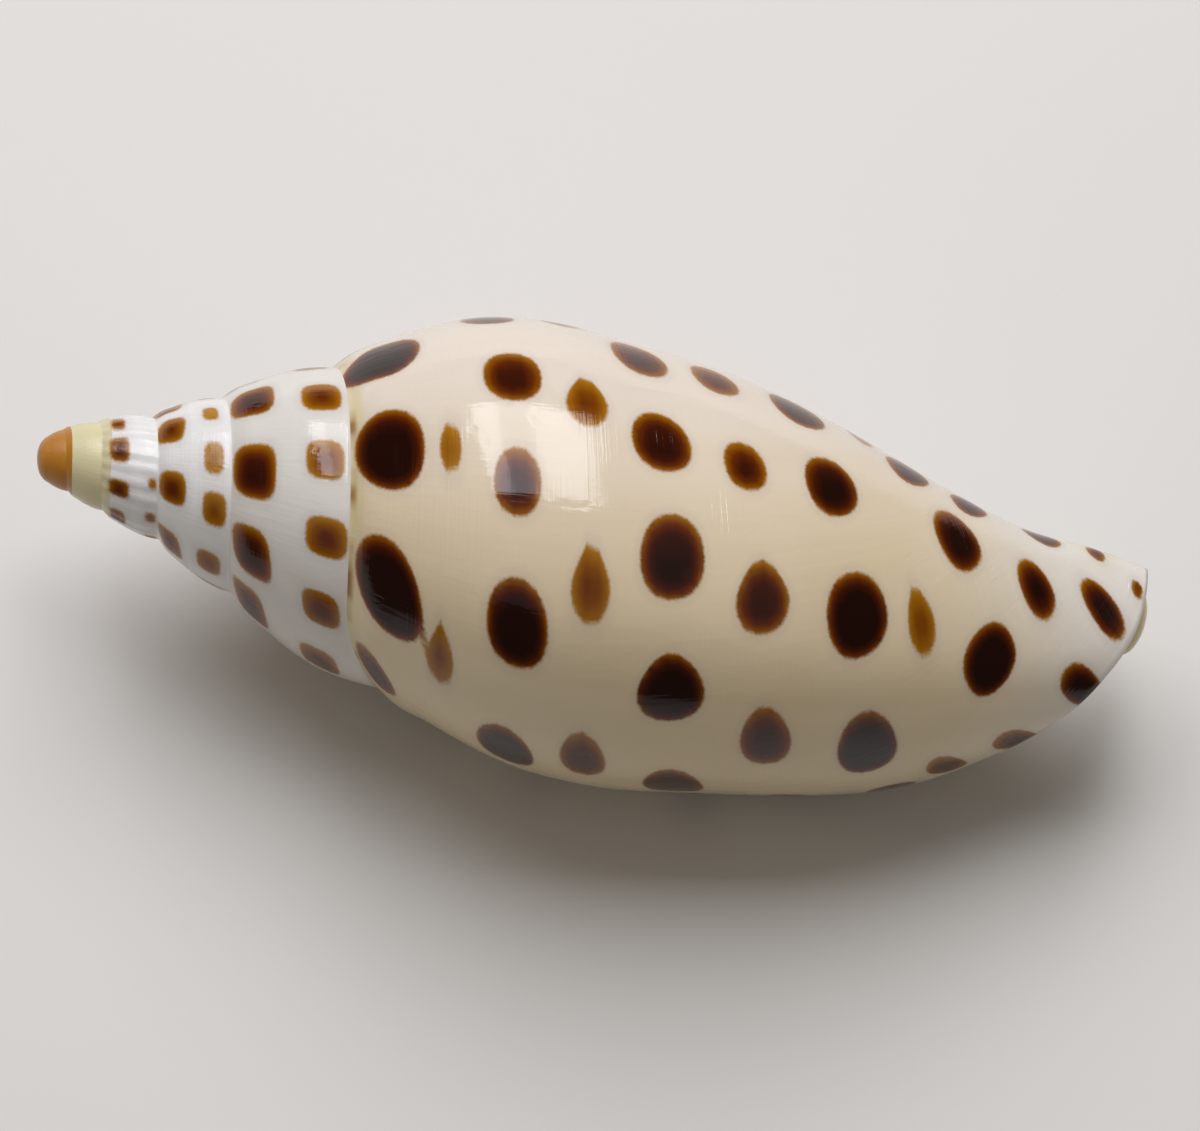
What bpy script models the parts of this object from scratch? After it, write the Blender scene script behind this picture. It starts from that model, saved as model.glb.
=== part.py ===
"""A volute sea shell, 95 mm long, lying on its aperture.

The shell is one calcareous wall that a snail laid down while it turned around
an axis: a smooth dome at the apex, four spire whorls and a large body whorl
that ends in a long aperture, with a columella of four plaits on one side of it
and a thin outer lip on the other.  The model follows the same rule.  A fixed
whorl profile is carried around the coiling axis and grows by a fixed ratio per
turn, and each new whorl starts where the last one lets it, at the suture.

Shell space: the coiling axis is +X, with the apex at zero; +Y is the side away
from the outer lip, and +Z is the back of the shell.  A position on the coil is
a number of turns: 0 at the lip side (-Y), -0.25 at the back (+Z), -0.5 at +Y
and -0.75 on the aperture side (-Z).  Lengths in the profiles are millimetres at
turn -0.5, where the scale is 1.
"""

import math

import bmesh
import bpy
from mathutils import Matrix, Vector

# ---------------------------------------------------------------- dimensions
MM = 0.001                 # profiles are given in millimetres
GROWTH = 1.61              # linear growth of the coil in one turn
FIRST_TURN = -7.0          # the apex
LIP_TURN = 0.08            # the outer lip, where it leaves the suture
CAVITY_TURNS = 1.75        # how far the hollow is followed behind the lip

# Whorl profile: distance along the axis and radius, from the suture, over the
# shoulder, down the long flank to the front end where the wall meets the
# columella.
PROFILE = (
    (23.3, 11.5), (24.6, 12.9), (27.2, 14.55), (30.6, 16.4), (34.0, 17.7),
    (39.1, 18.5), (47.6, 18.0), (54.4, 17.3), (61.2, 15.75), (68.0, 13.5),
    (74.8, 10.75), (81.6, 8.0), (88.4, 6.1), (91.8, 4.2), (94.0, 3.0),
)
SUTURE_AT = 37.5           # where the next whorl starts on this profile
SUTURE_DROP = 4.2          # how much lower it starts at the lip
DROP_BETWEEN = (-0.15, 0.05)
COLUMELLA_SLOPE = 0.032    # radius of the columella over its distance along
TIP_HEIGHT = 1.5           # rounded front end of the columella

# The embryonic shell: turn, distance along the axis and radius of its suture.
PROTOCONCH = ((-6.0, 0.0, 0.0), (-5.0, 0.7, 1.6), (-4.0, 3.2, 2.7), (-3.0, 6.35, 4.0))
PROTOCONCH_END = -2.5

# The last half turn: the side above the lip is flattened, and the front end is
# bent away from the lip.
FLAT_AMOUNT = 0.18
FLAT_MORE = 0.06           # added below the widest part
FLAT_FRONT = 0.17          # and again towards the front end
FLAT_SETTLES = 5.5         # the flattening grows over this distance from the suture
FLAT_FROM, FLAT_TO = -0.22, 0.02
BEND_FROM, BEND_TO, BEND_SIZE = 68.0, 95.0, 2.9
SCOOP_LOWER = 0.22         # the front end is this much lower than it is wide

# The embryonic shell leans a little towards the lip side.
LEAN, LEAN_TO = 0.35, 9.0

# The outer lip: the turn it has reached at each place on the profile.  It is
# straight at first and then draws back to the front end of the columella.
LIP_LINE = (
    (23.3, 0.0), (33.0, 0.0), (40.0, -0.006), (46.0, -0.018), (53.0, -0.037), (61.0, -0.07),
    (68.0, -0.12), (73.5, -0.185), (78.0, -0.242), (83.0, -0.318), (88.0, -0.433), (94.0, -0.583),
)
LIP_SWEEP = -LIP_LINE[-1][1]

# Wall and lip.
WALL = 1.5                 # thickness at scale 1
LIP_EDGE = 0.75            # share of it left at the lip
CORNER_WIDTH = 3.6         # width of the wall's foot on the older whorl
FOOT_WIDTH = 2.1           # width of its foot on the columella

# Columellar plaits.
PLAITS = (67.0, 72.5, 78.0, 83.5)
PLAIT_HEIGHT = 0.8
PLAIT_WIDTH = 1.5

# How it lies: turned about the coiling axis, then about its width.
ROLL = math.radians(19.05)
PITCH = math.radians(5.28)

# Facets.
PER_TURN = 30
SPIRE_ROWS = 7             # suture to suture
FOOT_ROWS = 2              # hidden under the wall's foot
INSIDE_ROWS = 16           # inner corner to the front end
COLUMELLA_ROWS = 5
TIP_ROWS = 3

COLOUR = (0.80, 0.76, 0.66, 1.0)


# ------------------------------------------------------------------- helpers
def smooth_step(x, low, high):
    """Rise from 0 at low to 1 at high without corners."""
    t = min(max((x - low) / (high - low), 0.0), 1.0)
    return t * t * (3.0 - 2.0 * t)


def curve_through(points, x):
    """A smooth curve through points of growing x, and its slope at x."""
    last = len(points) - 1
    x = min(max(x, points[0][0]), points[last][0])
    i = 0
    while i < last - 1 and x > points[i + 1][0]:
        i += 1

    def slope(k):
        low = max(k - 1, 0)
        high = min(k + 1, last)
        if low == k or high == k:
            return (points[high][1] - points[low][1]) / (points[high][0] - points[low][0])
        before = (points[k][1] - points[low][1]) / (points[k][0] - points[low][0])
        after = (points[high][1] - points[k][1]) / (points[high][0] - points[k][0])
        share = (points[k][0] - points[low][0]) / (points[high][0] - points[low][0])
        return before + (after - before) * share

    x0, y0 = points[i]
    x1, y1 = points[i + 1]
    step = x1 - x0
    t = (x - x0) / step
    m0 = slope(i) * step
    m1 = slope(i + 1) * step
    value = (
        y0 * (1 + 2 * t) * (1 - t) ** 2
        + m0 * t * (1 - t) ** 2
        + y1 * t * t * (3 - 2 * t)
        + m1 * t * t * (t - 1)
    )
    rate = (
        6 * t * (t - 1) * (y0 - y1)
        + m0 * (1 - t) * (1 - 3 * t)
        + m1 * t * (3 * t - 2)
    ) / step
    return value, rate


def scale_at(turn):
    return GROWTH ** (turn + 0.5)


def profile(along):
    """Radius of the whorl's outer face."""
    return curve_through(PROFILE, along)[0]


def profile_inside(along, wall):
    """Radius of the whorl's inner face."""
    radius, rate = curve_through(PROFILE, along)
    return radius - wall * math.sqrt(1.0 + min(rate * rate, 2.0))


def columella(along):
    return COLUMELLA_SLOPE * along


# ----------------------------------------------------------------- sutures
def suture_share(turn):
    """Where the whorl at this turn starts on the profile of the one before."""
    return SUTURE_AT + SUTURE_DROP * smooth_step(turn, *DROP_BETWEEN)


def suture(turn):
    """Distance along the axis and radius of the suture at a turn."""
    if turn <= PROTOCONCH[0][0]:
        return 0.0, 0.0
    if turn >= PROTOCONCH_END:
        share = suture_share(turn)
        size = scale_at(turn - 1.0)
        return share * size, profile(share) * size
    end = suture(PROTOCONCH_END)
    beyond = suture(PROTOCONCH_END + 0.5)
    knots = PROTOCONCH + ((PROTOCONCH_END,) + end, (PROTOCONCH_END + 0.5,) + beyond)
    along = curve_through([(k[0], k[1]) for k in knots], turn)[0]
    radius = curve_through([(k[0], k[2]) for k in knots], turn)[0]
    return along, radius


# -------------------------------------------------------------- coordinates
def lip_sweep(along):
    """Turns by which a growth line lies behind the lip's middle."""
    if along <= LIP_LINE[1][0]:
        return 0.0
    return curve_through(LIP_LINE[1:], along)[0]


def sweep_share(turn):
    """Growth lines are meridians on the older whorls and follow the lip at it."""
    return smooth_step(turn, LIP_TURN - 1.0, LIP_TURN)


def flattening(turn, along, start):
    """The side above the lip bulges less than the coil would."""
    below = max(along - start, 0.0)
    amount = FLAT_AMOUNT * (1.0 - math.exp(-below / FLAT_SETTLES))
    amount += FLAT_MORE * smooth_step(along, 40.0, 62.0)
    amount += FLAT_FRONT * smooth_step(along, 58.0, 76.0)
    return 1.0 - amount * smooth_step(turn, FLAT_FROM, FLAT_TO)


def place(turn, along, radius):
    """A point of shell space, in metres, from its place on the coil."""
    angle = 2.0 * math.pi * turn
    share = max(along - BEND_FROM, 0.0) / (BEND_TO - BEND_FROM)
    aside = BEND_SIZE * share ** 2.2 - LEAN * (1.0 - smooth_step(along, 0.0, LEAN_TO))
    lower = 1.0 - SCOOP_LOWER * smooth_step(along, BEND_FROM - 6.0, BEND_TO)
    across = aside - radius * math.cos(angle)
    height = -radius * math.sin(angle) * lower
    return Vector((along, across, height)) * MM


def lerp(a, b, t):
    return a + (b - a) * t


# ------------------------------------------------------------------ surfaces
LAST = round((LIP_TURN - FIRST_TURN) * PER_TURN)
START = LIP_TURN - LAST / PER_TURN
DEEP = LAST - round(CAVITY_TURNS * PER_TURN)
CORNER = SPIRE_ROWS + FOOT_ROWS
FRONT = CORNER + INSIDE_ROWS
COLUMELLA_END = FRONT + COLUMELLA_ROWS
LIP_FOOT = COLUMELLA_END + FOOT_ROWS
TIP = LIP_FOOT + TIP_ROWS
FRONT_AT = PROFILE[-1][0]


def turn_at(column):
    return START + column / PER_TURN


def corner_width(turn):
    """The wall's foot on the older whorl narrows towards the lip."""
    return CORNER_WIDTH * lerp(1.0, LIP_EDGE, smooth_step(turn, LIP_TURN - 0.2, LIP_TURN))


def row_share(column, row):
    """Place on the whorl profile of a row of the outer surface."""
    at_suture = suture_share(turn_at(column) + 1.0)
    corner = at_suture + corner_width(min(turn_at(column) + 1.0, LIP_TURN))
    if row <= SPIRE_ROWS:
        return lerp(PROFILE[0][0], at_suture, (row / SPIRE_ROWS) ** 1.25)
    if row <= CORNER:
        return lerp(at_suture, corner, (row - SPIRE_ROWS) / FOOT_ROWS)
    return inside_share(corner, row - CORNER)


def inside_share(corner, row):
    """Rows from the inner corner to the front end, with one row on each crest
    of the plaits and one in each valley."""
    half = 0.5 * (PLAITS[1] - PLAITS[0])
    first, last = PLAITS[0] - half, PLAITS[-1] + half
    if row <= 5:
        return lerp(corner, first, row / 5)
    if row <= 13:
        return lerp(first, last, (row - 5) / 8)
    return lerp(last, FRONT_AT, (row - 13) / 3)


def plaits(column, along):
    """Four ridges that wind around the columella and fade outside."""
    inside = 1.0 - smooth_step(turn_at(column), LIP_TURN - 1.02, LIP_TURN - 0.93)
    height = 0.0
    for centre in PLAITS:
        height += math.exp(-((along - centre) / PLAIT_WIDTH) ** 2)
    return PLAIT_HEIGHT * height * inside


def outer_point(column, row):
    """A point of the sheet that runs from the suture to the columella's tip."""
    turn = turn_at(column)
    if row <= FRONT:
        share = row_share(column, row)
        if row <= SPIRE_ROWS and turn < -1.5:
            return place(turn, *early_whorl(turn, share))
        here = turn + lip_sweep(share) * sweep_share(turn)
        size = scale_at(here)
        along = share * size
        radius = profile(share) * size
        along, radius = drawn_to_suture(turn, share, along, radius, 0)
        radius *= flattening(here, share, PROFILE[0][0])
        if row > CORNER:
            radius += plaits(column, share) * size
        return place(here, along, radius)
    return columella_point(column, row)


def early_whorl(turn, share):
    """The arched wall between two sutures of the spire."""
    a0, r0 = PROFILE[0]
    a1, r1 = SUTURE_AT, profile(SUTURE_AT)
    chord_a, chord_r = a1 - a0, r1 - r0
    length2 = chord_a ** 2 + chord_r ** 2
    da, dr = share - a0, profile(share) - r0
    on = (da * chord_a + dr * chord_r) / length2
    off = (dr * chord_a - da * chord_r) / length2
    u0, v0 = suture(turn)
    u1, v1 = suture(turn + 1.0)
    ca, cr = u1 - u0, v1 - v0
    return u0 + on * ca - off * cr, v0 + on * cr + off * ca


def drawn_to_suture(turn, share, along, radius, inner):
    """Move the top of a profile so that it starts on the older whorl."""
    width = corner_width(turn) if inner else 0.0
    size = scale_at(turn - 1.0)
    foot = suture_share(turn) + width
    goal_a, goal_r = foot * size, profile(foot) * size
    if inner:
        start = inner_start(turn)
        from_a = start * scale_at(turn)
        from_r = profile_inside(start, wall_at(turn)) * scale_at(turn)
    else:
        start = PROFILE[0][0]
        from_a = start * scale_at(turn)
        from_r = PROFILE[0][1] * scale_at(turn)
    share = 1.0 - smooth_step(share, start, start + 20.0)
    return along + (goal_a - from_a) * share, radius + (goal_r - from_r) * share


def columella_point(column, row):
    """The pillar under the whorl's front end, and its rounded tip."""
    turn = turn_at(column)
    sweep_here = sweep_share(turn)
    sweep_next = sweep_share(min(turn + 1.0, LIP_TURN))
    share = min((row - FRONT) / COLUMELLA_ROWS, 1.0)
    here = turn - LIP_SWEEP * lerp(sweep_here, sweep_next, share)
    begin = FRONT_AT * scale_at(turn - LIP_SWEEP * sweep_here)
    next_turn = min(turn + 1.0 - LIP_SWEEP * sweep_next, LIP_TURN - LIP_SWEEP)
    foot = FRONT_AT * scale_at(next_turn)
    inner = (FRONT_AT - FOOT_WIDTH) * scale_at(next_turn)
    inner = max(inner, begin)
    if row <= COLUMELLA_END:
        along = lerp(begin, inner, share)
    elif row <= LIP_FOOT:
        along = lerp(inner, foot, (row - COLUMELLA_END) / FOOT_ROWS)
    else:
        angle = 0.5 * math.pi * (row - LIP_FOOT) / TIP_ROWS
        along = foot + TIP_HEIGHT * math.sin(angle)
        return place(here, along, columella(foot) * math.cos(angle))
    return place(here, along, columella(along))


def wall_at(turn):
    return WALL * lerp(1.0, LIP_EDGE, smooth_step(turn, LIP_TURN - 0.2, LIP_TURN))


def inner_start(turn):
    return (suture_share(turn) + corner_width(turn)) / GROWTH


def inner_point(column, row):
    """A point of the hollow's outer side, under the outer surface."""
    turn = turn_at(column)
    wall = wall_at(turn)
    start = inner_start(turn)
    end = FRONT_AT - FOOT_WIDTH
    share = start + (end - start) * (row / FRONT) ** 1.15
    here = turn + lip_sweep(share * FRONT_AT / end) * sweep_share(turn)
    size = scale_at(here)
    along = share * size
    radius = profile_inside(share, wall) * size
    along, radius = drawn_to_suture(turn, share, along, radius, 1)
    near_end = smooth_step(share, end - 12.0, end)
    miss = profile_inside(end, wall) - columella(end)
    radius -= miss * size * near_end
    radius *= flattening(here, share, start)
    return place(here, along, radius)


# ---------------------------------------------------------------------- mesh
def build_shell():
    bm = bmesh.new()
    apex = bm.verts.new(place(START, 0.0, 0.0))
    outer = {}
    inner = {}

    def rows_of(column):
        if column >= LAST - PER_TURN:
            return TIP
        if column >= DEEP - PER_TURN:
            return COLUMELLA_END
        return SPIRE_ROWS

    for column in range(LAST + 1):
        for row in range(rows_of(column) + 1):
            if column == 0 or (row == 0 and column <= PER_TURN):
                outer[column, row] = apex
            elif row == 0:
                outer[column, row] = outer[column - PER_TURN, SPIRE_ROWS]
            elif column == LAST and FRONT <= row <= LIP_FOOT:
                outer[column, row] = outer[column - PER_TURN, LIP_FOOT]
            elif column == LAST and row > LIP_FOOT:
                outer[column, row] = outer[column - PER_TURN, row]
            elif row == TIP:
                first = (LAST - PER_TURN, TIP)
                if first not in outer:
                    outer[first] = bm.verts.new(outer_point(column, row))
                outer[column, row] = outer[first]
            else:
                outer[column, row] = bm.verts.new(outer_point(column, row))

    for column in range(DEEP, LAST + 1):
        for row in range(FRONT + 1):
            if row == 0:
                inner[column, row] = outer[column - PER_TURN, CORNER]
            elif row == FRONT:
                inner[column, row] = outer[column - PER_TURN, COLUMELLA_END]
            else:
                inner[column, row] = bm.verts.new(inner_point(column, row))

    def face(*corners):
        ring = []
        for vert in corners:
            if vert not in ring:
                ring.append(vert)
        if len(ring) > 2:
            bm.faces.new(ring)

    for column in range(LAST):
        for row in range(rows_of(column)):
            hidden = SPIRE_ROWS <= row < CORNER and column < LAST - PER_TURN
            if not hidden:
                face(
                    outer[column, row], outer[column, row + 1],
                    outer[column + 1, row + 1], outer[column + 1, row],
                )
    for column in range(DEEP, LAST):
        for row in range(FRONT):
            face(
                inner[column, row], inner[column + 1, row],
                inner[column + 1, row + 1], inner[column, row + 1],
            )

    # The lip: a rounded edge between the two faces of the wall.
    edge = {}
    first = LAST - PER_TURN
    for row in range(FRONT + 1):
        if row == 0:
            edge[row] = outer[first, SPIRE_ROWS + 1]
        elif row == FRONT:
            edge[row] = outer[first, COLUMELLA_END + 1]
        else:
            out = outer[LAST, row].co
            middle = (out + inner[LAST, row].co) * 0.5
            ahead = (out - outer[LAST - 1, row].co).normalized()
            rounding = 0.45 * (out - inner[LAST, row].co).length
            rounding *= min(1.0, 0.25 * row, 0.25 * (FRONT - row))
            edge[row] = bm.verts.new(middle + ahead * rounding)
    for row in range(FRONT):
        face(outer[LAST, row], outer[LAST, row + 1], edge[row + 1], edge[row])
        face(edge[row], edge[row + 1], inner[LAST, row + 1], inner[LAST, row])

    # The blind end of the hollow.
    deep = [inner[DEEP, row] for row in range(FRONT + 1)]
    back = [outer[DEEP - PER_TURN, row] for row in range(CORNER + 1, COLUMELLA_END)]
    face(*(deep + back[::-1]))

    bmesh.ops.recalc_face_normals(bm, faces=bm.faces)
    bmesh.ops.triangulate(bm, faces=bm.faces, quad_method="BEAUTY", ngon_method="BEAUTY")
    if bm.calc_volume(signed=True) < 0.0:
        bmesh.ops.reverse_faces(bm, faces=bm.faces)
    return bm


def shell_material():
    material = bpy.data.materials.new("glossy shell")
    material.use_nodes = True
    shader = material.node_tree.nodes["Principled BSDF"]
    shader.inputs["Base Color"].default_value = COLOUR
    shader.inputs["Roughness"].default_value = 0.18
    shader.inputs["Metallic"].default_value = 0.0
    return material


def main():
    for thing in list(bpy.data.objects):
        bpy.data.objects.remove(thing, do_unlink=True)

    bm = build_shell()
    lie = Matrix.Rotation(PITCH, 4, "Y") @ Matrix.Rotation(ROLL, 4, "X")
    bm.transform(lie)
    low = Vector([min(v.co[k] for v in bm.verts) for k in range(3)])
    high = Vector([max(v.co[k] for v in bm.verts) for k in range(3)])
    middle = (low + high) * 0.5
    bm.transform(Matrix.Translation((-middle.x, -middle.y, -low.z)))

    mesh = bpy.data.meshes.new("shell")
    bm.to_mesh(mesh)
    bm.free()
    mesh.shade_smooth()
    mesh.materials.append(shell_material())
    shell = bpy.data.objects.new("shell", mesh)
    bpy.context.scene.collection.objects.link(shell)


main()
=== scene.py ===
# %% [markdown]
# # A volute sea shell
# A snail lays down its shell at the lip while it turns around an axis, so the
# whole thing is one sheet that was rolled up and grew as it went. This lesson
# makes it the same way. A flat net is drawn first, with turns one way and the
# outline of the whorl the other way. A node tree then rolls the net up.
#
# The first lines load the solid model of the shell and measure the box around it.
# It gives the box that the finished piece has to stay in, and it is the part that
# other tools move.

# %% Load the solid model
import bisect
import math

import bpy
import numpy as np
from mathutils import Matrix, Vector


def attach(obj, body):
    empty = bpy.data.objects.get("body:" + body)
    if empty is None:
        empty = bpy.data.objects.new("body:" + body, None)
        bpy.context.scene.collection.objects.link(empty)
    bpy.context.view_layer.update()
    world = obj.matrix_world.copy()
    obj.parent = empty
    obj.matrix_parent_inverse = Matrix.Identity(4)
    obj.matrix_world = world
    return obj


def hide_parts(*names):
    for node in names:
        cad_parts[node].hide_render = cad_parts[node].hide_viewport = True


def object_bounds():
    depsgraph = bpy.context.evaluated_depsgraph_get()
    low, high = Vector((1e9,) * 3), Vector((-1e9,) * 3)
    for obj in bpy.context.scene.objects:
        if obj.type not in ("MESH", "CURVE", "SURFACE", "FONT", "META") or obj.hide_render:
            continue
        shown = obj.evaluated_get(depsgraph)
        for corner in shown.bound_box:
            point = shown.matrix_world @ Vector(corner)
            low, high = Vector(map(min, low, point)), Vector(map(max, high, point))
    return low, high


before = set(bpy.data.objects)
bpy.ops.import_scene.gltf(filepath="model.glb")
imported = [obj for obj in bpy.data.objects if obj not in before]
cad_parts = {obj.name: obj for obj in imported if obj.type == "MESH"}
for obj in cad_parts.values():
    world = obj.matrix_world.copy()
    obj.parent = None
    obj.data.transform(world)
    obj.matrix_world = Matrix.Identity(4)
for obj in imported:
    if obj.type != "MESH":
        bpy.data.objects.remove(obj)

cad_low, cad_high = [Vector(corner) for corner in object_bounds()]
cad_size = cad_high - cad_low
print("solid model, mm:", [round(side * 1000, 1) for side in cad_size])

# %% [markdown]
# ## Two helpers
# Every node in this lesson is added by one function: it makes the node, sets
# it, and fills its sockets with numbers or links. Kinds of node and settings
# that come up often have short names. Colours are written as the hex values that
# a paint chart gives, and one function turns them into the linear values that
# Blender works with.

# %% A node and a colour
MATH = "ShaderNodeMath"
VECTOR = "ShaderNodeVectorMath"
RANGE = "ShaderNodeMapRange"
RAMP = "ShaderNodeValToRGB"
MIX = "ShaderNodeMix"
NOISE = "ShaderNodeTexNoise"
JOIN = "ShaderNodeCombineXYZ"
SPLIT = "ShaderNodeSeparateXYZ"
TIMES = {"operation": "MULTIPLY"}
MINUS = {"operation": "SUBTRACT"}
SMOOTH = {"interpolation_type": "SMOOTHSTEP"}
COLOURS = {"give": 2, "data_type": "RGBA"}


def add(tree, kind, inputs=(), give=0, stops=(), **settings):
    """Add a node, set it, fill its inputs and hand back one of its outputs."""
    node = tree.nodes.new(kind)
    for name, value in settings.items():
        setattr(node, name, value)
    if stops:
        # a new ramp holds two stops, so one of them goes and the other is reused
        elements = node.color_ramp.elements
        elements.remove(elements[1])
        elements[0].position, elements[0].color = stops[0][0], colour(stops[0][1])
        for at, shade in stops[1:]:
            elements.new(at).color = colour(shade)
    pairs = inputs.items() if isinstance(inputs, dict) else enumerate(inputs)
    for key, value in pairs:
        socket = node.inputs[key]
        if isinstance(value, bpy.types.NodeSocket):
            tree.links.new(value, socket)
        elif value is not None:
            socket.default_value = value
    return node.outputs[give] if node.outputs else node


def colour(text, alpha=1.0):
    """An sRGB hex colour as linear red, green, blue and alpha."""
    linear = []
    for k in (1, 3, 5):
        c = int(text[k:k + 2], 16) / 255
        linear.append(c / 12.92 if c <= 0.04045 else ((c + 0.055) / 1.055) ** 2.4)
    return (*linear, alpha)


print("a cream in linear values:", [round(c, 3) for c in colour("#E6DBC4")[:3]])

# %% [markdown]
# ## The whorl's outline
# If the shell were sawn open along its axis, every whorl would show the same
# outline, only larger by a fixed ratio from turn to turn. The outline can be
# drawn once as a few points: distance along the axis and radius, in
# millimetres. A curve of cubic pieces through them keeps the flank smooth.

# %% Draw the outline
MM = 0.001
GROWTH = 1.61
OUTLINE = (
    (23.3, 11.5), (24.6, 12.9), (27.2, 14.55), (30.6, 16.4), (34.0, 17.7),
    (39.1, 18.5), (47.6, 18.0), (54.4, 17.3), (61.2, 15.75), (68.0, 13.5),
    (74.8, 10.75), (81.6, 8.0), (88.4, 6.1), (91.8, 4.2), (94.0, 3.0),
)
FRONT_AT = OUTLINE[-1][0]


def smooth_step(x, low, high):
    t = min(max((x - low) / (high - low), 0.0), 1.0)
    return t * t * (3.0 - 2.0 * t)


def smooth_curve(points):
    """A function that gives a smooth curve through the points, and its slope."""
    px, py = zip(*points)
    rates = [(py[k + 1] - py[k]) / (px[k + 1] - px[k]) for k in range(len(px) - 1)]
    tangent = [rates[0]]
    for k in range(1, len(px) - 1):
        near = (px[k] - px[k - 1]) / (px[k + 1] - px[k - 1])
        tangent.append(rates[k - 1] + (rates[k] - rates[k - 1]) * near)
    tangent.append(rates[-1])

    def read(x):
        x = min(max(x, px[0]), px[-1])
        k = min(max(bisect.bisect_left(px, x) - 1, 0), len(px) - 2)
        step = px[k + 1] - px[k]
        rise = py[k + 1] - py[k]
        t = (x - px[k]) / step
        m0, m1 = tangent[k] * step, tangent[k + 1] * step
        value = py[k] + rise * t * t * (3 - 2 * t) + m0 * t * (1 - t) ** 2 + m1 * t * t * (t - 1)
        rate = rise * 6 * t * (1 - t) + m0 * (1 - t) * (1 - 3 * t) + m1 * t * (3 * t - 2)
        return value, rate / step

    return read


outline_curve = smooth_curve(OUTLINE)


def outline(share):
    return outline_curve(share)[0]


def scale_at(turn):
    return GROWTH ** (turn + 0.5)


print("widest radius of the outline, mm:", max(outline(s) for s in range(24, 94)))

# %% [markdown]
# ## Sutures
# A new whorl is glued to the one before it along the suture. Over most of the
# spire it starts at the same place on the older whorl's outline, and near the
# lip it slides a little lower. The first three turns grew inside the egg, so
# they follow a rounder rule of their own: a few points say where they start.

# %% Where each whorl starts
FIRST_TURN = -7.0
LIP_TURN = 0.08
SUTURE_AT, SUTURE_DROP = 37.5, 4.2
EMBRYO = (
    (-6.0, 0.0, 0.0), (-5.5, 0.16, 1.1), (-5.0, 0.6, 1.8), (-4.5, 1.7, 2.35), (-4.0, 3.15, 2.75),
    (-3.0, 6.35, 4.0),
)
EMBRYO_END = -2.5


def suture_share(turn):
    return SUTURE_AT + SUTURE_DROP * smooth_step(turn, -0.15, 0.05)


embryo = list(EMBRYO)
for at in (EMBRYO_END, EMBRYO_END + 0.5):
    embryo.append((at, SUTURE_AT * scale_at(at - 1), outline(SUTURE_AT) * scale_at(at - 1)))
embryo_along = smooth_curve([(knot[0], knot[1]) for knot in embryo])
embryo_radius = smooth_curve([(knot[0], knot[2]) for knot in embryo])


def suture(turn):
    """Where the whorl at this turn starts, on the older whorl's own scale."""
    if turn <= EMBRYO[0][0]:
        return 0.0, 0.0
    if turn >= EMBRYO_END:
        share = suture_share(turn)
        return share, outline(share)
    older = scale_at(turn - 1)
    return embryo_along(turn)[0] / older, embryo_radius(turn)[0] / older


for turn in (-5, -4, -3, -2, -1):
    a, r = [value * scale_at(turn - 1) for value in suture(turn)]
    print(f"suture at turn {turn}: {a:.1f} mm from the apex, radius {r:.1f} mm")

# %% [markdown]
# ## The lip
# Growth stops at the outer lip. It runs straight down from the suture and then
# draws back towards the front end, and every older growth line near it has the
# same bend. The wall is thinner at the lip, and where it stands on the older
# whorl or on the columella it has a foot.

# %% The lip, the wall and its feet
LIP_LINE = (
    (33.0, 0.0), (40.0, -0.006), (46.0, -0.018), (53.0, -0.037), (61.0, -0.07),
    (68.0, -0.12), (73.5, -0.185), (78.0, -0.242), (83.0, -0.318), (88.0, -0.433), (94.0, -0.583),
)
LIP_SWEEP = -LIP_LINE[-1][1]
HOLLOW_TURNS = 1.75
WALL, LIP_EDGE = 1.5, 0.75
THIN_TURNS = 0.2
CORNER_WIDTH, FOOT_WIDTH = 3.6, 2.1
COLUMELLA_SLOPE, TIP_HEIGHT = 0.032, 1.5


lip_curve = smooth_curve(LIP_LINE)


def lip_line(share):
    return lip_curve(share)[0]


def sweep_share(turn):
    return smooth_step(turn, LIP_TURN - 1.0, LIP_TURN)


def thinning(turn):
    return 1.0 - (1.0 - LIP_EDGE) * smooth_step(turn, LIP_TURN - THIN_TURNS, LIP_TURN)


def corner_width(turn):
    return CORNER_WIDTH * thinning(turn)


def outline_inside(share, wall):
    radius, rate = outline_curve(share)
    return radius - wall * math.sqrt(1.0 + min(rate * rate, 2.0))


print("wall at the lip, mm:", round(WALL * LIP_EDGE * scale_at(LIP_TURN), 2))

# %% [markdown]
# ## The flat net
# The net is the knitting chart of the shell. Each knot has its turn as X, its
# place on the outline as Y and its radius as Z, all on one scale, and a few
# named attributes that the rule will need. Knots that two whorls share, such as
# those along the suture, are made once, so the sheet closes without a seam. A
# grid for every sheet and a merge afterwards would also do, but shared knots
# can't leave a gap. The rows lie closer together where the plaits of the
# columella will rise.

# %% Count the knots
PER_TURN = 144
SPIRE_ROWS = 24
FOOT_ROWS = 6
UPPER_ROWS, PLAIT_ROWS, LOWER_ROWS = 24, 36, 12
INSIDE_ROWS = UPPER_ROWS + PLAIT_ROWS + LOWER_ROWS
PILLAR_ROWS = 14
TIP_ROWS = 8
LAST = round((LIP_TURN - FIRST_TURN) * PER_TURN)
START_TURN = LIP_TURN - LAST / PER_TURN
DEEP = LAST - round(HOLLOW_TURNS * PER_TURN)
CORNER = SPIRE_ROWS + FOOT_ROWS
FRONT = CORNER + INSIDE_ROWS
PILLAR_END = FRONT + PILLAR_ROWS
LIP_FOOT = PILLAR_END + FOOT_ROWS
TIP = LIP_FOOT + TIP_ROWS
PLAITS, PLAIT_AT, PLAIT_SPACING = 4, 67.0, 5.5
PLAITS_FROM = PLAIT_AT - 0.5 * PLAIT_SPACING
PLAITS_TO = PLAITS_FROM + PLAITS * PLAIT_SPACING
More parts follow.
